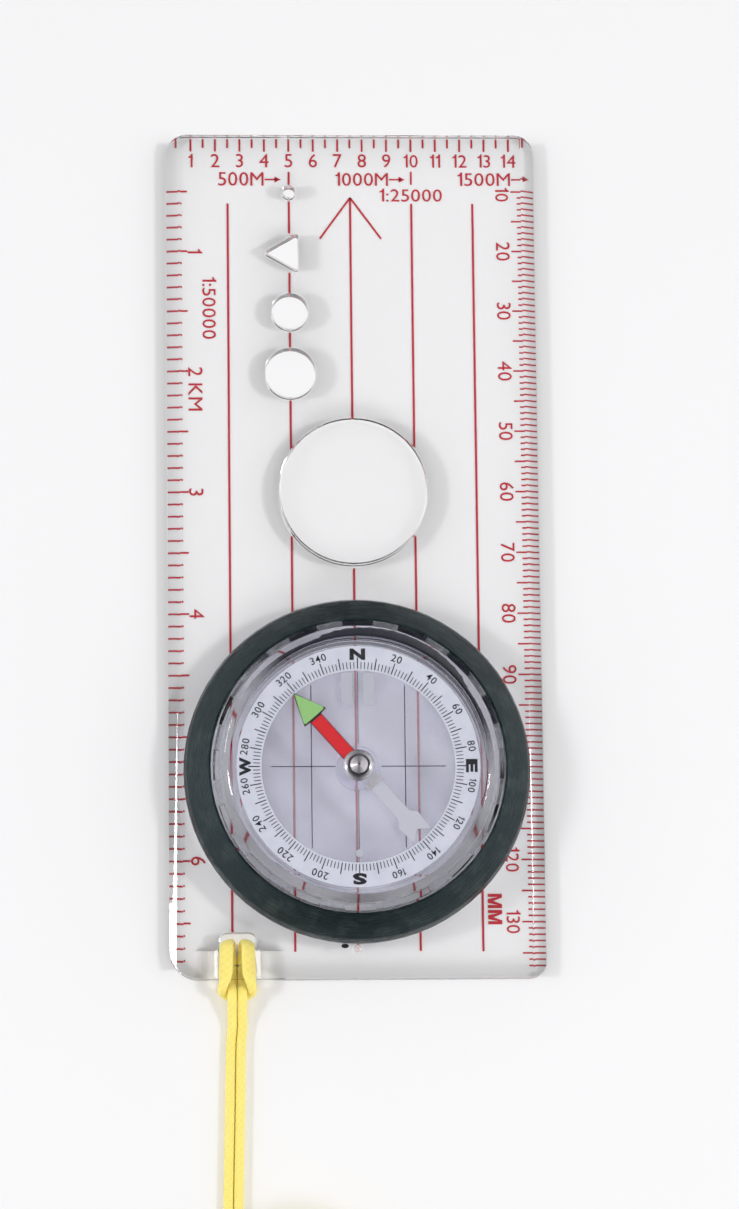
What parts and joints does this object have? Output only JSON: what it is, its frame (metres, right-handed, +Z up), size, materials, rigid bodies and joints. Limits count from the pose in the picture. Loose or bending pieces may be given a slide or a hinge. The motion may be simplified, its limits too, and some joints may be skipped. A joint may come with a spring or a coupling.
{
  "type": "baseplate compass",
  "caption": "Clear ruler plate with stencils and a reading lens, a turning liquid dial housing, a magnetic needle and a neck lanyard.",
  "frame": {"origin": "Middle of the plate's footprint, on its underside.", "axes": "+Z up out of the plate, +Y the direction of travel, +X towards the millimetre scale's edge."},
  "size_m": [0.06, 0.2002, 0.0129],
  "materials": {
    "clear_acrylic": "clear moulded acrylic, polished",
    "lens_acrylic": "clear moulded acrylic, optical polish",
    "capsule_clear": "clear moulded capsule plastic, polished",
    "bezel_plastic": "dark green-black moulded plastic, fine turned grain",
    "scale_white": "printed white scale",
    "glow_pale": "pale luminous paint",
    "glow_green": "green luminous paint",
    "needle_paint": "red north arm, white south arm",
    "bright_steel": "bright nickel plate",
    "clip_metal": "dark folded strip",
    "jewel_red": "polished synthetic jewel",
    "plug_rubber": "moulded plug",
    "cord_yellow": "braided soft cord"
  },
  "bodies": {
    "plate": {"baseplate": "clear_acrylic", "magnifier_lens": "lens_acrylic", "snap_ring": "clear_acrylic", "reading_pip": "clear_acrylic", "lanyard_hitch": "cord_yellow", "lanyard_west": "cord_yellow", "lanyard_east": "cord_yellow", "lanyard_coil": "cord_yellow", "lanyard_knot": "cord_yellow"},
    "dial_housing": {"bezel_ring": "bezel_plastic", "capsule_cup": "capsule_clear", "capsule_cover": "capsule_clear", "filler_plug": "plug_rubber", "dial_disc": "capsule_clear", "scale_ring": "scale_white", "glow_bar_west": "glow_pale", "glow_bar_east": "glow_pale", "glow_dot": "glow_pale", "pivot_boss": "capsule_clear", "pivot_pin": "bright_steel"},
    "needle": {"needle_blade": "needle_paint", "glow_tip": "glow_green", "needle_hub": "bright_steel", "hub_collar": "bright_steel", "hub_cap": "bright_steel", "jewel_bearing": "jewel_red", "balance_clip": "clip_metal"}
  },
  "joints": [
    {"name": "bezel_turn", "type": "hinge", "parent": "plate", "child": "dial_housing", "pos_m": [0, -0.036, 0], "axis": [0, 0, 1], "continuous": true},
    {"name": "needle_swing", "type": "hinge", "parent": "dial_housing", "child": "needle", "pos_m": [0, -0.036, 0.0095], "axis": [0, 0, 1], "continuous": true}
  ]
}
